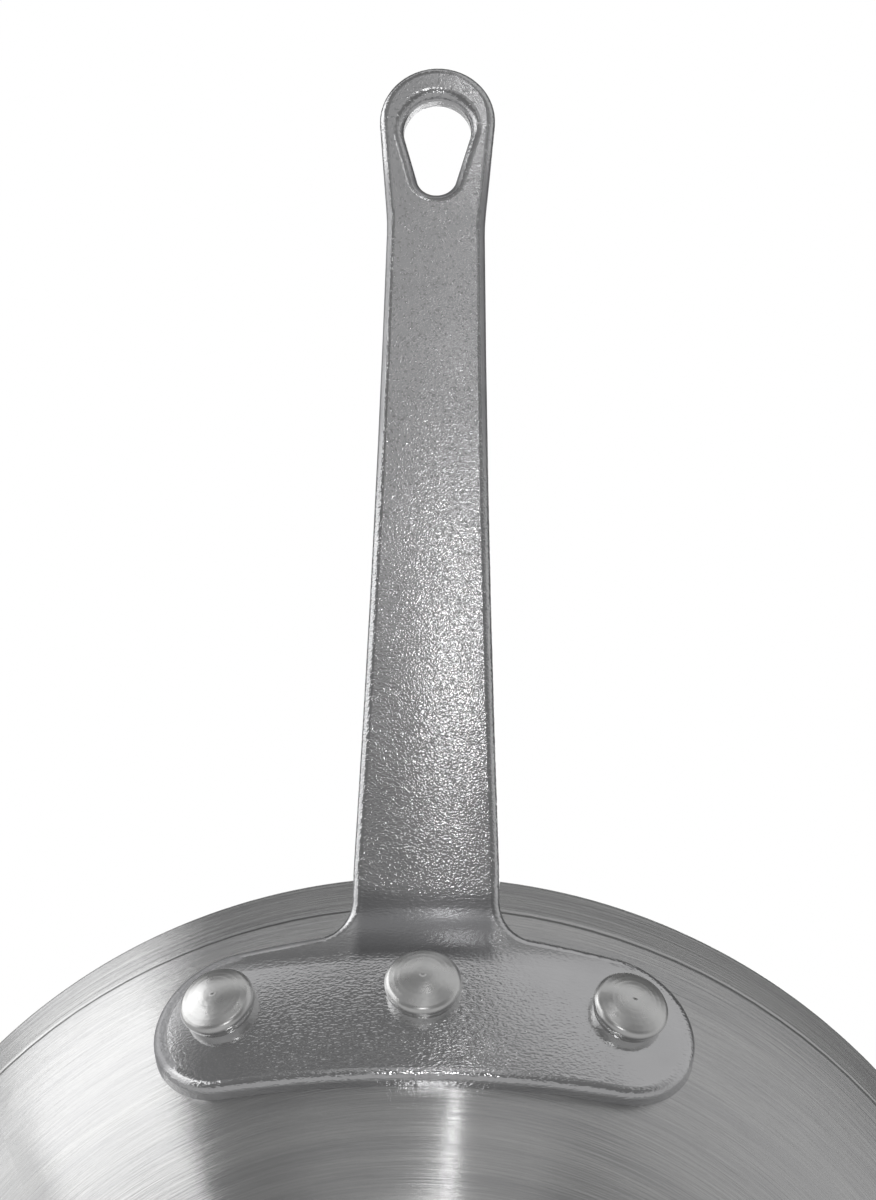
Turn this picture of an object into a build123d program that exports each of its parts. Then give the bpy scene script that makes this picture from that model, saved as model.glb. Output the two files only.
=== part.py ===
from build123d import *
import os
from math import acos, asin, atan2, cos, degrees, radians, sin, sqrt

# An aluminium omelette pan in millimetres. The pan is a spun bowl with flared sides,
# and a cast handle is held on its wall by three rivets. The origin is the centre of the
# underside of the base, +Z is up and the handle points to -Y.

# Pan body
rim_radius = 101.6
pan_height = 51.0
wall_thickness = 3.0
rim_band_length = 7.85
rim_band_lean = 24.0
wall_bow_radius = 125.0
wall_lean_at_lip = 29.6
base_corner_radius = 14.0

# Flange of the handle, which follows the wall. Its outline is drawn square to the wall
# at the middle of the flange.
flange_middle_height = 25.4
flange_thickness = 2.8
flange_end_radius = 11.9
flange_end_spacing = 59.2
flange_end_drop_height = 2.5
flange_shoulder_radius = 13.0
flange_crown_height = 11.6

# Shank and loop of the handle. Lengths run along the shank from the line where its
# underside would meet the face of the flange.
root_height = 11.4
root_width = 23.0
root_flare_radius = 5.5
root_fillet_radius = 15.0
root_straight_length = 2.0
shank_rise = 20.0
shank_thickness = 4.5
shank_length = 149.3
shank_middle_width = 19.4
shank_middle_share = 0.394
neck_width = 16.6
neck_to_tip_length = 29.0
loop_radius = 9.95
side_blend_radius = 40.0
underside_edge_radius = 1.5
top_edge_radius = 1.8

# Hanging hole through the loop, round at both ends and wider at the tip
hole_tip_radius = 5.8
hole_root_radius = 3.45
hole_length = 18.0
hole_to_tip_length = 5.9
hole_underside_edge_radius = 1.8
hole_top_edge_radius = 0.8

# Rivets
rivet_head_diameter = 12.0
rivet_head_side_height = 2.2
rivet_head_dome_height = 1.5
rivet_head_foot_inset = 0.6
rivet_head_round_radius = 1.2
rivet_shank_diameter = 6.4
rivet_inner_diameter = 11.0
rivet_inner_side_height = 0.6
rivet_inner_dome_height = 0.9
rivet_inner_foot_inset = 0.2
rivet_inner_round_radius = 0.3
rivet_spacing = 30.4
middle_rivet_height = 25.9
side_rivet_height = 28.0
rivet_clearance = 0.05

# Half of the angle about the pan's axis within which the handle is cut from its blank,
# and how far a cutting solid runs past what it cuts
blank_half_angle = 35.0
overrun = 1.0
tolerance = 0.01


def out_and_down(lean):
    """Unit vector square to a wall that leans out by lean degrees, as radius and height."""
    return Vector(cos(radians(lean)), -sin(radians(lean)))


def middle(first, second):
    return (first + second) / 2


# Points of the pan's section, as radius and height
rim_edge_centre = Vector(rim_radius - wall_thickness / 2, pan_height - wall_thickness / 2)
band_up = Vector(sin(radians(rim_band_lean)), cos(radians(rim_band_lean)))
rim_outer = rim_edge_centre + out_and_down(rim_band_lean) * (wall_thickness / 2)
rim_inner = rim_edge_centre - out_and_down(rim_band_lean) * (wall_thickness / 2)
rim_apex = rim_edge_centre + band_up * (wall_thickness / 2)
lip = rim_outer - band_up * rim_band_length
bow_centre = lip - out_and_down(wall_lean_at_lip) * wall_bow_radius
corner_reach = wall_bow_radius - base_corner_radius
corner_drop = bow_centre.Y - base_corner_radius
corner_out = sqrt(corner_reach**2 - corner_drop**2)
corner_centre = Vector(bow_centre.X + corner_out, base_corner_radius)
corner_lean = degrees(asin(corner_drop / corner_reach))


def on_bow(offset, lean):
    """Point of the flared wall's section, moved outward from its outer face by offset."""
    return bow_centre + out_and_down(lean) * (wall_bow_radius + offset)


def on_corner(offset, lean):
    """Point of the base corner's section, moved outward from its outer face by offset."""
    return corner_centre + out_and_down(lean) * (base_corner_radius + offset)


def lean_at(height):
    """Lean of the wall's outer face at a height above the underside of the base."""
    return degrees(asin((bow_centre.Y - height) / wall_bow_radius))


def arc(point, offset, from_lean, to_lean):
    """Edge along one of the round stretches of the section."""
    return ThreePointArc(
        point(offset, from_lean),
        point(offset, middle(from_lean, to_lean)),
        point(offset, to_lean),
    )


def arc_about(centre, first, last):
    """Edge from first to last that is round about the centre."""
    halfway = (middle(first, last) - centre).normalized()
    return ThreePointArc(first, centre + halfway * (first - centre).length, last)


def tangent_point(centre, radius, outside):
    """Where a line from an outside point touches a circle, on the circle's +Y side."""
    away = outside - centre
    angle = atan2(away.Y, away.X) - acos(radius / away.length)
    return centre + Vector(cos(angle), sin(angle)) * radius


def along_to_circle(start, direction, centre, radius):
    """Point where a line first leaves the circle about centre, going along direction."""
    back = start - centre
    along = back.dot(direction)
    return start + direction * (-along + sqrt(along**2 - back.dot(back) + radius**2))


def mirrored_face(edges, mirror_plane):
    """Face bounded by edges from the mirror plane back to it and their mirror images."""
    half = make_face([*edges, Line(edges[-1] @ 1, edges[0] @ 0)])
    return half + mirror(half, mirror_plane)


def revolved(edges, half_angle=180.0):
    """Solid swept by a section of radius and height, equally to both sides of -Y."""
    section = Plane.XZ * make_face(edges)
    return Rot(0, 0, -90 - half_angle) * revolve(section, Axis.Z, 2 * half_angle)


# The flange's plane touches the wall at the middle of the flange: its X runs sideways,
# its Y up the wall and its Z out of the wall. The line square to the wall there meets
# the pan's axis at a distance of side_radius.
flange_lean = lean_at(flange_middle_height)
flange_foot = on_bow(0, flange_lean)
side_radius = flange_foot.X / cos(radians(flange_lean))
flange_plane = Plane(
    origin=(0, -flange_foot.X, flange_foot.Y),
    x_dir=(1, 0, 0),
    z_dir=(0, -cos(radians(flange_lean)), -sin(radians(flange_lean))),
)

# The shank's plane holds the middle line of its underside: its X runs along the shank,
# its Y sideways and its Z up.
shank_plane = Plane(
    origin=flange_plane.from_local_coords((0, root_height, flange_thickness)),
    x_dir=(0, -cos(radians(shank_rise)), sin(radians(shank_rise))),
    z_dir=(0, sin(radians(shank_rise)), cos(radians(shank_rise))),
)

# Side view of the handle, as distance up the flange's plane and distance out of it. Its
# outer side is the flange's face, a fillet and the shank's underside.
shank_turn = radians(90 - flange_lean - shank_rise)
shank_start = Vector(root_height, flange_thickness)
shank_along = Vector(cos(shank_turn), sin(shank_turn))
shank_down = Vector(-sin(shank_turn), cos(shank_turn))
bow_middle = Vector(0, -wall_bow_radius)
face_radius = wall_bow_radius + flange_thickness
fillet_centre = along_to_circle(
    shank_start + shank_down * root_fillet_radius,
    shank_along,
    bow_middle,
    face_radius + root_fillet_radius,
)
fillet_low = bow_middle + (fillet_centre - bow_middle).normalized() * face_radius
fillet_high = fillet_centre - shank_down * root_fillet_radius


def make_pan_body():
    inner_lip = lip - out_and_down(middle(rim_band_lean, wall_lean_at_lip)) * wall_thickness
    inner_bow_end = on_bow(-wall_thickness, corner_lean)
    inner_bow_middle = on_bow(-wall_thickness, middle(wall_lean_at_lip, corner_lean))
    outline = [
        Line((0, 0), (corner_centre.X, 0)),
        arc(on_corner, 0, 90, corner_lean),
        arc(on_bow, 0, corner_lean, wall_lean_at_lip),
        Line(lip, rim_outer),
        ThreePointArc(rim_outer, rim_apex, rim_inner),
        Line(rim_inner, inner_lip),
        ThreePointArc(inner_lip, inner_bow_middle, inner_bow_end),
        arc(on_corner, -wall_thickness, corner_lean, 90),
        Line((corner_centre.X, wall_thickness), (0, wall_thickness)),
        Line((0, wall_thickness), (0, 0)),
    ]
    return revolved(outline)


def handle_blank():
    """Solid with the handle's side view, bent sideways as the wall is at the flange."""
    low = Vector(-flange_end_drop_height - flange_end_radius - overrun, 0) - bow_middle
    inner_radius = wall_bow_radius - wall_thickness
    outer_low = bow_middle + low.normalized() * face_radius
    inner_low = bow_middle + low.normalized() * inner_radius
    end = shank_start + shank_along * (shank_length + overrun)
    top_end = end - shank_down * shank_thickness
    top_start = along_to_circle(
        shank_start - shank_down * shank_thickness, shank_along, bow_middle, inner_radius
    )
    outline = [
        Line(inner_low, outer_low),
        arc_about(bow_middle, outer_low, fillet_low),
        arc_about(fillet_centre, fillet_low, fillet_high),
        Line(fillet_high, end),
        Line(end, top_end),
        Line(top_end, top_start),
        arc_about(bow_middle, top_start, inner_low),
    ]
    bend = Axis((0, 0, -side_radius), (0, 1, 0))
    section = (Plane.YZ * make_face(outline)).rotate(bend, -blank_half_angle)
    return flange_plane * revolve(section, bend, 2 * blank_half_angle)


def pan_envelope():
    """Solid inside the pan's outer face, up to the rim."""
    outline = [
        Line((0, 0), (corner_centre.X, 0)),
        arc(on_corner, 0, 90, corner_lean),
        arc(on_bow, 0, corner_lean, wall_lean_at_lip),
        Line(lip, rim_outer),
        Line(rim_outer, (rim_outer.X, pan_height)),
        Line((rim_outer.X, pan_height), (0, pan_height)),
        Line((0, pan_height), (0, 0)),
    ]
    return revolved(outline)


def flange_outline():
    half_root = root_width / 2
    end_centre = Vector(flange_end_spacing / 2, -flange_end_drop_height)
    end_side = end_centre + Vector(flange_end_radius, 0)
    shoulder_centre = end_side - Vector(flange_shoulder_radius, 0)
    bottom = end_centre - Vector(0, flange_end_radius)
    flare_centre = Vector(half_root + root_flare_radius, flange_crown_height + root_flare_radius)
    flare_end = flare_centre - Vector(root_flare_radius, 0)
    tab_end = flare_end + Vector(0, overrun)
    across = flare_centre - shoulder_centre
    turn = acos((flange_shoulder_radius + root_flare_radius) / across.length)
    upward = across.normalized().rotate(Axis.Z, -degrees(turn))
    touch = shoulder_centre + upward * flange_shoulder_radius
    flare_start = flare_centre - upward * root_flare_radius
    right = [
        Line((0, bottom.Y), bottom),
        arc_about(end_centre, bottom, end_side),
        arc_about(shoulder_centre, end_side, touch),
        Line(touch, flare_start),
        arc_about(flare_centre, flare_start, flare_end),
        Line(flare_end, tab_end),
        Line(tab_end, (0, tab_end.Y)),
    ]
    return mirrored_face(right, Plane.YZ)


def shank_outline():
    half_root = root_width / 2
    loop_centre = Vector(shank_length - loop_radius, 0)
    neck = Vector(shank_length - neck_to_tip_length, neck_width / 2)
    bend = Vector(shank_length * shank_middle_share, shank_middle_width / 2)
    flare_end = (flange_crown_height + root_flare_radius + overrun - root_height) / cos(shank_turn)
    root = Vector(flare_end + root_straight_length, half_root)
    back = Vector(-root_height, half_root)
    touch = tangent_point(loop_centre, loop_radius, neck)
    left = [
        Line((back.X, 0), back),
        Line(back, root),
        ThreePointArc(root, bend, neck),
        Line(neck, touch),
        arc_about(loop_centre, touch, Vector(shank_length, 0)),
    ]
    outline = mirrored_face(left, Plane.XZ)
    corners = [
        corner
        for corner in outline.vertices()
        if min(abs(corner.X - root.X), abs(corner.X - neck.X)) < tolerance
    ]
    return fillet(corners, side_blend_radius)


def hole_outline():
    tip_end = Vector(shank_length - hole_to_tip_length, 0)
    root_end = tip_end - Vector(hole_length, 0)
    tip_centre = tip_end - Vector(hole_tip_radius, 0)
    root_centre = root_end + Vector(hole_root_radius, 0)
    turn = acos((hole_tip_radius - hole_root_radius) / (tip_centre - root_centre).length)
    side = Vector(-cos(turn), sin(turn))
    wide = tip_centre + side * hole_tip_radius
    narrow = root_centre + side * hole_root_radius
    left = [
        arc_about(tip_centre, tip_end, wide),
        Line(wide, narrow),
        arc_about(root_centre, narrow, root_end),
    ]
    return mirrored_face(left, Plane.XZ)


def prism(plane, outline, depth):
    """Solid with this outline that runs the same depth to both sides of the plane."""
    return extrude(plane.offset(-depth) * outline, 2 * depth)


def side_view(point):
    """Place of a point in the handle's side view, once its sideways bend is undone."""
    spot = flange_plane.to_local_coords(point)
    return Vector(spot.Y, sqrt(spot.X**2 + (spot.Z + side_radius) ** 2) - side_radius)


def is_outer_edge(edge):
    """Tell an edge round the outer side of the handle, which no seam across it is."""
    spot = side_view(edge @ 0.5)
    off_face = abs((spot - bow_middle).length - face_radius)
    off_fillet = abs((spot - fillet_centre).length - root_fillet_radius)
    off_underside = abs((spot - shank_start).dot(shank_down))
    on_outside = min(off_face, off_fillet, off_underside) < tolerance
    return on_outside and edge.geom_type != GeomType.CIRCLE


def is_top_edge(edge):
    """Tell an edge round the top of the shank, which the one along the wall isn't."""
    place = edge @ 0.5
    off_top = abs((side_view(place) - shank_start).dot(shank_down) + shank_thickness)
    section_place = Vector(sqrt(place.X**2 + place.Y**2), place.Z)
    off_wall = abs((section_place - bow_centre).length - wall_bow_radius)
    return off_top < tolerance < off_wall


def is_hole_edge(edge, height):
    """Tell an edge round the mouth of the hanging hole at a height in the shank's plane."""
    spot = shank_plane.to_local_coords(edge @ 0.5)
    hole_end = shank_length - hole_to_tip_length
    lengthwise = hole_end - hole_length - tolerance < spot.X < hole_end + tolerance
    sideways = abs(spot.Y) < hole_tip_radius + tolerance
    return lengthwise and sideways and abs(spot.Z - height) < tolerance


def is_hole_underside_edge(edge):
    return is_hole_edge(edge, 0)


def is_hole_top_edge(edge):
    return is_hole_edge(edge, shank_thickness)


def rounded(solid, is_edge, radius):
    """Solid with the edges that is_edge picks rounded to the radius."""
    return fillet([edge for edge in solid.edges() if is_edge(edge)], radius)


def rivet_planes():
    """Planes on the wall's outer face, one for each rivet, with Z out of the wall."""
    places = [
        ("rivet_left", -rivet_spacing, side_rivet_height),
        ("rivet_middle", 0, middle_rivet_height),
        ("rivet_right", rivet_spacing, side_rivet_height),
    ]
    planes = {}
    for name, sideways, height in places:
        lean = lean_at(height)
        foot = on_bow(0, lean)
        turned = asin(sideways / foot.X)
        outward = Vector(sin(turned), -cos(turned))
        planes[name] = Plane(
            origin=outward * foot.X + Vector(0, 0, foot.Y),
            x_dir=(cos(turned), sin(turned), 0),
            z_dir=outward * cos(radians(lean)) - Vector(0, 0, sin(radians(lean))),
        )
    return planes


def wall_at_handle():
    """Stretch of the flared wall that the rivets pass through."""
    outline = [
        arc(on_bow, -wall_thickness, corner_lean, wall_lean_at_lip),
        Line(on_bow(-wall_thickness, wall_lean_at_lip), lip),
        arc(on_bow, 0, wall_lean_at_lip, corner_lean),
        Line(on_bow(0, corner_lean), on_bow(-wall_thickness, corner_lean)),
    ]
    return revolved(outline, blank_half_angle)


def rivet_head(diameter, side, dome, foot_inset, round_radius):
    """Button head that rises along +Z and starts an overrun below the XY plane."""
    crown = Vector(diameter / 2, side)
    foot = Vector(crown.X - foot_inset, 0)
    apex = Vector(0, side + dome)
    dome_radius = (crown.X**2 + dome**2) / (2 * dome)
    side_round_radius = (foot_inset**2 + side**2) / (2 * foot_inset)
    outline = [
        Line((0, -overrun), (foot.X, -overrun)),
        Line((foot.X, -overrun), foot),
        arc_about(crown - Vector(side_round_radius, 0), foot, crown),
        arc_about(apex - Vector(0, dome_radius), crown, apex),
        Line(apex, (0, -overrun)),
    ]
    head = revolve(Plane.XZ * make_face(outline), Axis.Z, 360)
    crowns = [edge for edge in head.edges() if abs((edge @ 0).Z - side) < tolerance]
    return fillet(crowns, round_radius)


def make_rivet(plane, blank, wall_stretch):
    """Rivet whose heads are seated on the handle's face and on the pan's inside."""
    outer_head = rivet_head(
        rivet_head_diameter,
        rivet_head_side_height,
        rivet_head_dome_height,
        rivet_head_foot_inset,
        rivet_head_round_radius,
    )
    inner_head = rivet_head(
        rivet_inner_diameter,
        rivet_inner_side_height,
        rivet_inner_dome_height,
        rivet_inner_foot_inset,
        rivet_inner_round_radius,
    )
    on_flange = plane.offset(flange_thickness)
    on_inside = Plane(plane.offset(-wall_thickness).origin, x_dir=plane.x_dir, z_dir=-plane.z_dir)
    outer = on_flange * outer_head - blank
    inner = on_inside * inner_head - wall_stretch
    shank = Cylinder(rivet_shank_diameter / 2, wall_thickness + flange_thickness + 2 * overrun)
    between = plane.offset((flange_thickness - wall_thickness) / 2)
    return outer + between * shank + inner


def rivet_hole(plane):
    length = wall_thickness + flange_thickness + 2 * overrun
    between = plane.offset((flange_thickness - wall_thickness) / 2)
    return between * Cylinder(rivet_shank_diameter / 2 + rivet_clearance, length)


def make_handle(planes, blank):
    flange = blank & prism(flange_plane, flange_outline(), pan_height / 2)
    shank = blank & prism(shank_plane, shank_outline(), pan_height)
    handle = flange + shank - pan_envelope()
    handle = rounded(handle, is_outer_edge, underside_edge_radius)
    handle = rounded(handle, is_top_edge, top_edge_radius)
    handle = handle - prism(shank_plane, hole_outline(), pan_height)
    handle = rounded(handle, is_hole_underside_edge, hole_underside_edge_radius)
    handle = rounded(handle, is_hole_top_edge, hole_top_edge_radius)
    for plane in planes:
        handle = handle - rivet_hole(plane)
    return handle


def make_parts():
    planes = rivet_planes()
    blank = handle_blank()
    wall_stretch = wall_at_handle()
    pan_body = make_pan_body()
    for plane in planes.values():
        pan_body = pan_body - rivet_hole(plane)
    parts = {"pan_body": pan_body, "handle": make_handle(planes.values(), blank)}
    for name, plane in planes.items():
        parts[name] = make_rivet(plane, blank, wall_stretch)
    return parts


os.makedirs("parts", exist_ok=True)
for name, shape in make_parts().items():
    export_step(shape, f"parts/{name}.step")
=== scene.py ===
import math

import bpy
from mathutils import Matrix, Quaternion, Vector


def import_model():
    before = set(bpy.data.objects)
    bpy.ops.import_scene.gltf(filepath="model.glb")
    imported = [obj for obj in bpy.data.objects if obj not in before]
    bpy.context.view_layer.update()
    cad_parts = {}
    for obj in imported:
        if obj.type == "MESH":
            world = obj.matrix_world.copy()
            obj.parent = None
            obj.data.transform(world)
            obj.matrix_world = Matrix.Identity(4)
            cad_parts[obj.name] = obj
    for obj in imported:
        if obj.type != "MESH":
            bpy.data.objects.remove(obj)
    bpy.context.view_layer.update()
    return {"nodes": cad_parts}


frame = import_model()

nodes = frame["nodes"]
scene = bpy.context.scene


# Shader helpers

class Shader:
    """A node tree with short calls for the nodes that the materials use."""

    def __init__(self, tree):
        self.tree = tree
        tree.nodes.clear()

    def add(self, kind, inputs=None, **settings):
        node = self.tree.nodes.new(kind)
        for key, value in settings.items():
            setattr(node, key, value)
        for key, value in (inputs or {}).items():
            self.feed(node.inputs[key], value)
        return node

    def feed(self, socket, value):
        if isinstance(value, bpy.types.NodeSocket):
            self.tree.links.new(value, socket)
        else:
            socket.default_value = value

    def math(self, operation, a, b=0.0, c=0.0):
        return self.add("ShaderNodeMath", {0: a, 1: b, 2: c}, operation=operation).outputs[0]

    def times(self, a, b):
        return self.math("MULTIPLY", a, b)

    def add_scaled(self, a, factor, b):
        """a * factor + b"""
        return self.math("MULTIPLY_ADD", a, factor, b)

    def vector(self, x, y, z):
        return self.add("ShaderNodeCombineXYZ", {0: x, 1: y, 2: z}).outputs[0]

    def split(self, vector):
        return self.add("ShaderNodeSeparateXYZ", {0: vector}).outputs

    def dot(self, a, b):
        node = self.add("ShaderNodeVectorMath", {0: a, 1: b}, operation="DOT_PRODUCT")
        return node.outputs["Value"]

    def length(self, a):
        return self.add("ShaderNodeVectorMath", {0: a}, operation="LENGTH").outputs["Value"]

    def minus(self, a, b):
        return self.add("ShaderNodeVectorMath", {0: a, 1: b}, operation="SUBTRACT").outputs[0]

    def scaled(self, a, b):
        return self.add("ShaderNodeVectorMath", {0: a, 1: b}, operation="MULTIPLY").outputs[0]

    def noise(self, vector, scale, detail=2.0, roughness=0.5):
        inputs = {"Vector": vector, "Scale": scale, "Detail": detail, "Roughness": roughness}
        return self.add("ShaderNodeTexNoise", inputs).outputs["Fac"]

    def ramp(self, value, start, end, to_start=0.0, to_end=1.0):
        """A smooth step from to_start to to_end as the value goes from start to end."""
        if start > end:
            start, end, to_start, to_end = end, start, to_end, to_start
        inputs = {0: value, 1: start, 2: end, 3: to_start, 4: to_end}
        return self.add("ShaderNodeMapRange", inputs, interpolation_type="SMOOTHSTEP").outputs[0]

    def blend(self, factor, a, b):
        """A plain number between a and b."""
        node = self.add("ShaderNodeMix", {0: factor, 2: a, 3: b}, data_type="FLOAT")
        return node.outputs[0]

    def colour(self, factor, a, b):
        node = self.add("ShaderNodeMix", {0: factor, 6: (*a, 1.0), 7: (*b, 1.0)}, data_type="RGBA")
        return node.outputs[2]

    def bump(self, height, distance):
        return self.add("ShaderNodeBump", {"Height": height, "Distance": distance}).outputs[0]

    def metal(self, colour, roughness, normal, anisotropic=0.0, turn=0.0, tangent=None):
        bsdf = self.add("ShaderNodeBsdfPrincipled")
        self.feed(bsdf.inputs["Base Color"], colour)
        self.feed(bsdf.inputs["Roughness"], roughness)
        self.feed(bsdf.inputs["Normal"], normal)
        bsdf.inputs["Metallic"].default_value = 1.0
        bsdf.inputs["IOR"].default_value = 1.45
        bsdf.inputs["Anisotropic"].default_value = anisotropic
        bsdf.inputs["Anisotropic Rotation"].default_value = turn
        if tangent is not None:
            self.feed(bsdf.inputs["Tangent"], tangent)
        self.finish(bsdf.outputs[0], "ShaderNodeOutputMaterial")

    def finish(self, shader, kind):
        output = self.add(kind)
        self.tree.links.new(shader, output.inputs["Surface"])


def new_material(name):
    material = bpy.data.materials.new(name)
    material.use_nodes = True
    return material, Shader(material.node_tree)


def dress(node, material):
    mesh = nodes[node].data
    mesh.materials.clear()
    mesh.materials.append(material)


def object_place(s):
    return s.add("ShaderNodeTexCoord").outputs["Object"]


# The pan: spun and brushed aluminium

BRUSH_TURNS = 2.6       # how often a brush line changes on its way round
BRUSH_FINE = 5200.0     # fine lines for each metre across them
BRUSH_COARSE = 1500.0
BRUSH_BANDS = 190.0     # broad tool bands
BRUSH_DEPTH = 0.000080
BRUSH_ROUGHNESS = 0.21
LIP_CREASE = 0.0421     # height of the turned line below the lip band
CREASE_REACH = 0.0006   # from the middle of that line to its border
PAN_DARK = (0.58, 0.58, 0.585)
PAN_LIGHT = (0.72, 0.72, 0.715)


def brush_lines(s, place, density, turns, detail):
    """Noise drawn out along circles round the pan's axis."""
    x, y, z = s.split(place)
    radius = s.math("MAXIMUM", s.length(s.vector(x, y, 0.0)), 0.0005)
    across = s.add_scaled(z, 0.8, radius)
    cosine = s.math("DIVIDE", x, radius)
    sine = s.math("DIVIDE", y, radius)
    vector = s.vector(s.times(cosine, turns), s.times(sine, turns), s.times(across, density))
    return s.noise(vector, 1.0, detail, 0.6)


def pan_material():
    material, s = new_material("brushed_aluminium")
    place = object_place(s)
    fine = brush_lines(s, place, BRUSH_FINE, BRUSH_TURNS * 2.2, 3.0)
    coarse = brush_lines(s, place, BRUSH_COARSE, BRUSH_TURNS, 3.0)
    bands = brush_lines(s, place, BRUSH_BANDS, BRUSH_TURNS * 0.5, 2.0)
    off_crease = s.math("ABSOLUTE", s.math("SUBTRACT", s.split(place)[2], LIP_CREASE))
    crease = s.ramp(off_crease, CREASE_REACH, 0.0)
    height = s.math("ADD", s.times(fine, 0.5), s.times(coarse, 0.8))
    height = s.add_scaled(crease, -1.6, height)
    rough = s.add_scaled(s.math("SUBTRACT", bands, 0.5), 0.08, BRUSH_ROUGHNESS)
    rough = s.add_scaled(s.math("SUBTRACT", coarse, 0.5), 0.06, rough)
    shade = s.math("ADD", s.times(fine, 0.5), s.times(bands, 0.5))
    colour = s.colour(s.ramp(shade, 0.3, 0.7), PAN_DARK, PAN_LIGHT)
    tangent = s.add("ShaderNodeTangent", direction_type="RADIAL", axis="Z").outputs[0]
    normal = s.bump(height, BRUSH_DEPTH)
    s.metal(colour, rough, normal, anisotropic=1.0, turn=0.25, tangent=tangent)
    return material


# The handle: cast aluminium with a pebbled grain

GRAIN_DEPTH = 0.000036
GRAIN_PEBBLES = 3000.0  # of the shank, for each metre
GRAIN_LONG = 2900.0     # of the flange, where they are longer across
GRAIN_DOTS = 2300.0     # single bumps of the shank
GRAIN_SWELL = 420.0
GRAIN_MOTTLE = 160.0    # lighter and darker patches
FLANGE_COARSE = 2.2     # times the depth of the grain
FLANGE_FINE = 0.5
FLANGE_ROUGHNESS = 0.12
FILLET_ROUGHNESS = 0.20
SHANK_ROUGHNESS = 0.08
HANDLE_DARK = (0.36, 0.36, 0.370)
HANDLE_LIGHT = (0.66, 0.66, 0.668)
FLANGE_FOOT = (0.0, -0.0873, 0.0254)
FLANGE_UP = (0.0, -0.6245, 0.781)
SHANK_DOWN = (0.0, -0.342, -0.9397)

# Where each zone of the handle starts and where it is full. Along Y:
SHANK = (-0.1005, -0.1040)
TIP_HALF = (-0.165, -0.215)
# The stretch of the shank's sides that is rougher and darkened with painted shade, from its root
# end to its tip end:
ROUGH_PAINTED_SHADE_ROOT = (-0.150, -0.180)
ROUGH_PAINTED_SHADE_TIP = (-0.224, -0.214)
# By the cosine to SHANK_DOWN:
SHANK_SIDE = (0.97, 0.80)
# Up the flange from FLANGE_FOOT:
FOOT_RIM = (-0.0115, -0.0135)
# Where the left rim's roughness and painted shade start, up from its lowest part:
ROUGH_PAINTED_SHADE_RIM_LOW = (-0.0105, -0.0085)
SMOOTHER_TOP = (0.0005, 0.0050)
# Up to the neck fillet, whose grain is smoothed and whose colour gets painted shade:
NECK_FILLET = (0.0045, 0.0090)
FILLET_FINISH = (0.005, 0.010)
TOP_RIM = (0.0112, 0.0122)
TOP_RIM_SLOPE = (0.0889, 0.996)     # direction square to the top rim, aside and up
# Aside from the middle:
COARSE_MIDDLE = (0.018, 0.034)
FOOT_RIM_MIDDLE = (0.018, 0.010)
END_HALF = (0.0280, 0.0295)
TOP_RIM_OUTER = (0.0150, 0.0175)
SMOOTHER_OUTER = (0.0100, 0.0150)
FILLET_MIDDLE = (0.0120, 0.0095)
# Only the left half of the rim gets painted shade and more roughness:
LEFT_HALF = (0.004, -0.004)
# From the centre of the flange's round end, which is given as aside and up:
END_CENTRE = (0.0285, -0.0025)
END_RIM = (0.0105, 0.0115)


def shank_zones(s, y):
    """The shank, the half of it towards the tip, its sides, and a stretch of these sides that is
    rougher and darkened with painted shade.
    """
    shank = s.ramp(y, *SHANK)
    toward_tip = s.ramp(y, *TIP_HALF)
    facing = s.dot(s.add("ShaderNodeTexCoord").outputs["Normal"], SHANK_DOWN)
    at_side = s.times(s.ramp(facing, *SHANK_SIDE), shank)
    # Where the sides are rougher and their colour is darkened with painted shade in place of their
    # highlight.
    rough_painted_shade_stretch = s.times(s.ramp(y, *ROUGH_PAINTED_SHADE_ROOT), s.ramp(y, *ROUGH_PAINTED_SHADE_TIP))
    return shank, toward_tip, at_side, s.times(at_side, rough_painted_shade_stretch)


def rim_zones(s, x, wide, up_flange):
    """The flange's rim at its ends and along its foot, and the rim on its left, which is rougher
    and darkened with painted shade.
    """
    past_end = s.minus(s.vector(wide, up_flange, 0.0), (*END_CENTRE, 0.0))
    at_end = s.times(s.ramp(s.length(past_end), *END_RIM), s.ramp(wide, *END_HALF))
    at_foot = s.times(s.ramp(up_flange, *FOOT_RIM), s.ramp(wide, *FOOT_RIM_MIDDLE))
    aside, up = TOP_RIM_SLOPE
    up_slope = s.add_scaled(wide, aside, s.times(up_flange, up))
    at_top = s.times(s.ramp(up_slope, *TOP_RIM), s.ramp(wide, *TOP_RIM_OUTER))
    # The left end and top of the rim: rougher, and darkened with painted shade that dims their
    # reflection.
    rough_painted_shade_rim = s.times(s.math("MAXIMUM", at_end, at_top), s.ramp(up_flange, *ROUGH_PAINTED_SHADE_RIM_LOW))
    rough_painted_shade_rim = s.times(rough_painted_shade_rim, s.ramp(x, *LEFT_HALF))
    return s.math("MAXIMUM", at_end, at_foot), rough_painted_shade_rim


def flange_grain(s, wide, up_flange, at_rim, fillet_smooth_painted_shade):
    """How deep the grain of the flange is: coarse in the middle and at the rim."""
    grain = s.ramp(wide, *COARSE_MIDDLE, FLANGE_COARSE, FLANGE_FINE)
    smoother_top = s.times(s.ramp(up_flange, *SMOOTHER_TOP), s.ramp(wide, *SMOOTHER_OUTER))
    grain = s.times(grain, s.add_scaled(smoother_top, -0.6, 1.0))
    grain = s.math("MAXIMUM", grain, s.times(at_rim, FLANGE_COARSE))
    return s.times(grain, s.add_scaled(fillet_smooth_painted_shade, -0.75, 1.0))


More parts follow.
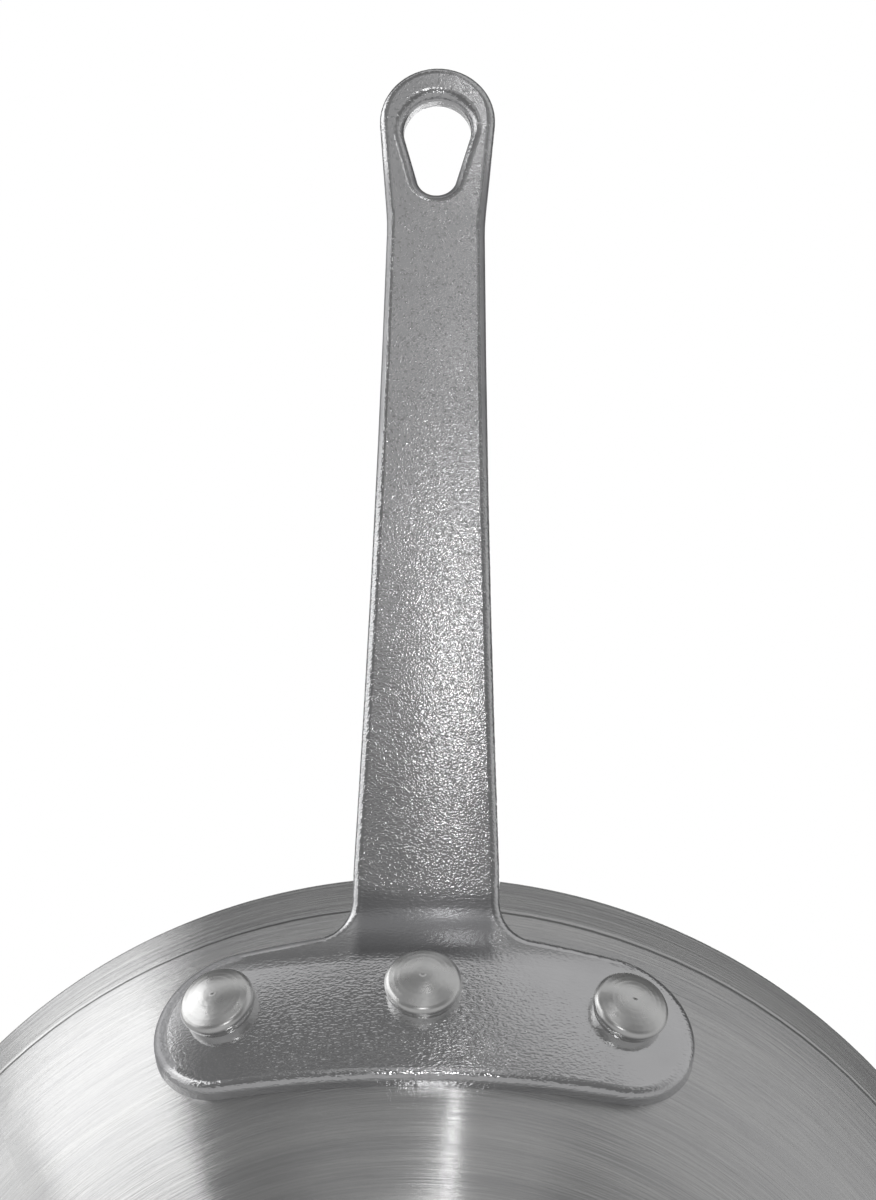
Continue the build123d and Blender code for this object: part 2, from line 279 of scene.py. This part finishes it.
def handle_material():
    material, s = new_material("cast_aluminium")
    place = object_place(s)
    x, y, z = s.split(place)
    wide = s.math("ABSOLUTE", x)
    up_flange = s.dot(s.minus(place, FLANGE_FOOT), FLANGE_UP)
    shank, toward_tip, at_side, rough_painted_shade_side = shank_zones(s, y)
    at_rim, rough_painted_shade_rim = rim_zones(s, x, wide, up_flange)
    # The neck fillet: its grain is smoothed, and its colour is darkened with painted shade.
    fillet_smooth_painted_shade = s.times(s.ramp(up_flange, *NECK_FILLET), s.math("SUBTRACT", 1.0, shank))
    fillet_smooth_painted_shade = s.times(fillet_smooth_painted_shade, s.ramp(wide, *FILLET_MIDDLE))

    pebbles = s.noise(place, GRAIN_PEBBLES, 1.0)
    dots = s.ramp(s.noise(place, GRAIN_DOTS, 0.0), 0.62, 0.80)
    shank_grain = s.add_scaled(at_side, 1.2, s.add_scaled(toward_tip, -0.35, 1.0))
    on_shank = s.add_scaled(dots, 0.8, s.times(pebbles, shank_grain))
    long_bumps = s.noise(s.scaled(place, (0.5, 1.0, 1.0)), GRAIN_LONG, 1.0)
    on_flange = s.times(long_bumps, flange_grain(s, wide, up_flange, at_rim, fillet_smooth_painted_shade))
    height = s.blend(shank, on_flange, on_shank)
    height = s.add_scaled(s.noise(place, GRAIN_SWELL, 1.0), 0.2, height)

    rough = s.ramp(up_flange, *FILLET_FINISH, FLANGE_ROUGHNESS, FILLET_ROUGHNESS)
    rough = s.blend(shank, rough, SHANK_ROUGHNESS)
    rough = s.add_scaled(toward_tip, 0.06, rough)
    rough = s.add_scaled(rough_painted_shade_side, 0.30, rough)
    rough = s.add_scaled(s.noise(place, GRAIN_SWELL), 0.04, rough)
    rough = s.add_scaled(rough_painted_shade_rim, 0.34, rough)

    # Random mottle, darkened with painted shade in the neck fillet, on the left rim and on the
    # shank's sides towards the tip.
    tone = s.add_scaled(fillet_smooth_painted_shade, -2.2, s.noise(place, GRAIN_MOTTLE, 3.0))
    tone = s.add_scaled(rough_painted_shade_rim, -1.6, tone)
    tone = s.add_scaled(rough_painted_shade_side, -1.6, tone)
    colour = s.colour(s.ramp(tone, -2.0, 1.0), HANDLE_DARK, HANDLE_LIGHT)
    s.metal(colour, rough, s.bump(height, GRAIN_DEPTH))
    return material


# The rivets: satin heads with faint turned rings

RIVET_RINGS = 2400.0    # turned rings for each metre from the middle of the head
RIVET_SIDE_RINGS = 500.0
RIVET_DEPTH = 0.00003
RIVET_DARK = (0.66, 0.66, 0.66)
RIVET_LIGHT = (0.80, 0.80, 0.79)


def rivet_material(name, centre, axis):
    material, s = new_material(name)
    place = object_place(s)
    away = s.minus(place, centre)
    along = s.dot(away, axis)
    away_squared = s.math("POWER", s.length(away), 2.0)
    flat = s.math("SQRT", s.math("SUBTRACT", away_squared, s.math("POWER", along, 2.0)))
    ring_vector = s.vector(s.times(flat, RIVET_RINGS), s.times(along, RIVET_SIDE_RINGS), 0.0)
    rings = s.times(s.noise(ring_vector, 1.0, 1.0), s.ramp(flat, 0.0005, 0.0025))
    rings = s.math("ADD", rings, s.noise(place, 900.0))
    rough = s.add_scaled(s.noise(place, 500.0, 3.0), 0.14, 0.22)
    colour = s.colour(s.noise(place, 350.0), RIVET_DARK, RIVET_LIGHT)
    s.metal(colour, rough, s.bump(rings, RIVET_DEPTH))
    return material


# Centre of each rivet on the wall, and the way its outer head points
RIVETS = {
    "rivet_left": ((-0.0304, -0.083906, 0.028), (-0.2716, -0.7495, -0.6037)),
    "rivet_middle": ((0.0, -0.087617, 0.0259), (0.0, -0.7842, -0.6205)),
    "rivet_right": ((0.0304, -0.083906, 0.028), (0.2716, -0.7495, -0.6037)),
}

dress("pan_body", pan_material())
dress("handle", handle_material())
for name, (centre, axis) in RIVETS.items():
    dress(name, rivet_material(name + "_satin", centre, axis))


# The stage

def link(obj):
    scene.collection.objects.link(obj)
    return obj


def stage_mesh(name, vertices, faces, material):
    mesh = bpy.data.meshes.new(name)
    mesh.from_pydata(vertices, [], faces)
    mesh.materials.append(material)
    obj = link(bpy.data.objects.new(name, mesh))
    return obj


WORLD_LIGHT = 0.62
WORLD_SEEN = 1.0        # where the camera or a mirror looks at it


def world():
    w = bpy.data.worlds.new("studio")
    scene.world = w
    w.use_nodes = True
    s = Shader(w.node_tree)
    path = s.add("ShaderNodeLightPath")
    seen = s.math("MAXIMUM", path.outputs["Is Camera Ray"], path.outputs["Is Glossy Ray"])
    seen = s.math("MAXIMUM", seen, path.outputs["Is Transmission Ray"])
    strength = s.blend(seen, WORLD_LIGHT, WORLD_SEEN)
    shader = s.add("ShaderNodeBackground", {"Color": (1, 1, 1, 1), "Strength": strength})
    s.finish(shader.outputs[0], "ShaderNodeOutputWorld")


FLOOR_HALF = 6.0
FLOOR_HEIGHT = -0.0002


def floor():
    """A pale floor that shows from above only, so that the view from below stays open."""
    material, s = new_material("pale_floor")
    place = object_place(s)
    tone = s.noise(place, 3.0, 2.0)
    colour = s.colour(tone, (0.86, 0.86, 0.86), (0.90, 0.90, 0.90))
    bsdf = s.add("ShaderNodeBsdfPrincipled")
    s.feed(bsdf.inputs["Base Color"], colour)
    bsdf.inputs["Roughness"].default_value = 0.8
    back = s.add("ShaderNodeNewGeometry").outputs["Backfacing"]
    clear = s.add("ShaderNodeBsdfTransparent")
    mix = s.add("ShaderNodeMixShader", {0: back, 1: bsdf.outputs[0], 2: clear.outputs[0]})
    s.finish(mix.outputs[0], "ShaderNodeOutputMaterial")
    signs = [(-1, -1), (1, -1), (1, 1), (-1, 1)]
    corners = [(a * FLOOR_HALF, b * FLOOR_HALF, FLOOR_HEIGHT) for a, b in signs]
    obj = stage_mesh("floor", corners, [(0, 1, 2, 3)], material)
    obj.visible_glossy = False
    obj.visible_shadow = False


FLAG_RADIUS = 1.6
FLAG_ROWS = 24
FLAG_COLUMNS = 48
FLAG_LOW = math.radians(-89)
FLAG_HIGH = math.radians(66)


def flag_tone(s):
    """How bright the flags are by azimuth, from -Y towards +X, and by elevation, in degrees."""
    x, y, z = s.split(object_place(s))
    azimuth = s.math("ARCTAN2", x, s.math("MULTIPLY", y, -1.0))
    aside = s.math("ABSOLUTE", azimuth)
    elevation = s.math("ARCTAN2", z, s.length(s.vector(x, y, 0.0)))

    def by_angle(angle, low, high, a, b):
        return s.blend(s.ramp(angle, math.radians(low), math.radians(high)), a, b)

    above = by_angle(azimuth, 2, 14, 0.60, 0.57)
    level = by_angle(azimuth, 2, 14, 0.18, 0.54)
    below = by_angle(azimuth, 26, 44, 0.25, 0.38)
    low_middle = by_angle(aside, 21, 31, 0.41, 0.20)
    lowest = by_angle(aside, 10, 20, 0.24, 0.18)
    tone = by_angle(elevation, 7, 1, above, level)
    tone = by_angle(elevation, -10, -15, tone, below)
    tone = by_angle(elevation, -27, -33, tone, low_middle)
    tone = by_angle(elevation, -49, -55, tone, lowest)
    tone = by_angle(elevation, 21, 27, tone, 0.12)
    behind = by_angle(aside, 85, 110, 0.0, 1.0)
    return s.blend(behind, tone, 0.45)


def dome(radius, low, high, rows, columns):
    """Vertices and faces of a band of a sphere between two elevations."""
    vertices = []
    for i in range(rows + 1):
        e = low + (high - low) * i / rows
        for j in range(columns):
            a = 2 * math.pi * j / columns
            level = radius * math.cos(e)
            vertices.append((level * math.sin(a), -level * math.cos(a), radius * math.sin(e)))
    faces = []
    for i in range(rows):
        for j in range(columns):
            k = (j + 1) % columns
            lower, upper = i * columns, (i + 1) * columns
            faces.append((lower + j, lower + k, upper + k, upper + j))
    return vertices, faces


def surround():
    """Grey studio flags, which only the metal reflects."""
    material, s = new_material("studio_flags")
    glow = s.add("ShaderNodeEmission", {"Color": (1, 1, 1, 1), "Strength": flag_tone(s)})
    s.finish(glow.outputs[0], "ShaderNodeOutputMaterial")
    material.cycles.emission_sampling = "NONE"
    vertices, faces = dome(FLAG_RADIUS, FLAG_LOW, FLAG_HIGH, FLAG_ROWS, FLAG_COLUMNS)
    obj = stage_mesh("studio_flags", vertices, faces, material)
    for flag in ("camera", "diffuse", "transmission", "volume_scatter", "shadow"):
        setattr(obj, "visible_" + flag, False)


AIM = Vector((0.0, -0.09, 0.03))


def lamp(name, azimuth, elevation, distance, width, height, radiance, lean=0.0):
    """A soft lamp at angles from -Y towards +X and up. It faces AIM and leans over sideways."""
    data = bpy.data.lights.new(name, "AREA")
    data.shape = "RECTANGLE"
    data.size, data.size_y = width, height
    data.energy = radiance * math.pi * width * height
    obj = link(bpy.data.objects.new(name, data))
    a, e = math.radians(azimuth), math.radians(elevation)
    toward = Vector((math.sin(a) * math.cos(e), -math.cos(a) * math.cos(e), math.sin(e)))
    obj.location = AIM + toward * distance
    obj.rotation_mode = "QUATERNION"
    roll = Quaternion((0, 0, 1), math.radians(-lean))
    obj.rotation_quaternion = toward.to_track_quat("Z", "Y") @ roll
    obj.visible_camera = False


world()
floor()
surround()
# name, azimuth, elevation, distance, width, height, radiance, lean
lamp("softbox_near", -54.5, 4.0, 1.1, 0.478, 1.40, 1.16, 4.6)
lamp("softbox_far", -81.0, 4.0, 1.1, 0.557, 1.40, 0.66, 4.6)
lamp("streak", 4.5, -27.5, 1.1, 0.030, 0.32, 3.6)
lamp("glints", 3.0, -54.0, 1.1, 0.05, 0.05, 12.5)
lamp("glints_by_tip", 2.0, -46.0, 1.1, 0.05, 0.05, 1.6)
lamp("flash", 1.0, -81.0, 0.60, 0.05, 0.05, 22.0)
lamp("overhead", 150.0, 70.0, 1.2, 0.8, 0.8, 0.9)


# The camera

FOCAL_PIXELS = 2200.0
PICTURE_HEIGHT = 1200.0
CAMERA_PLACE = Vector((0.010290, -0.176757, -0.303376))
CAMERA_TILT = 0.08447
CAMERA_PAN = -0.02545
CAMERA_ROLL = 0.00485


def camera():
    forward = Vector((
        math.sin(CAMERA_PAN) * math.cos(CAMERA_TILT),
        math.sin(CAMERA_TILT),
        math.cos(CAMERA_PAN) * math.cos(CAMERA_TILT),
    ))
    up = Vector((0.0, -1.0, 0.0))
    up = (up - forward * up.dot(forward)).normalized()
    right = forward.cross(up)
    across = right * math.cos(CAMERA_ROLL) + up * math.sin(CAMERA_ROLL)
    above = up * math.cos(CAMERA_ROLL) - right * math.sin(CAMERA_ROLL)
    data = bpy.data.cameras.new("camera")
    data.sensor_fit = "AUTO"
    data.sensor_width = 36.0
    data.lens = data.sensor_width * FOCAL_PIXELS / PICTURE_HEIGHT
    data.clip_start, data.clip_end = 0.01, 50.0
    obj = link(bpy.data.objects.new("camera", data))
    turn = Matrix((across, above, -forward)).transposed()
    obj.matrix_world = Matrix.Translation(CAMERA_PLACE) @ turn.to_4x4()
    scene.camera = obj


camera()
scene.view_settings.view_transform = "Standard"
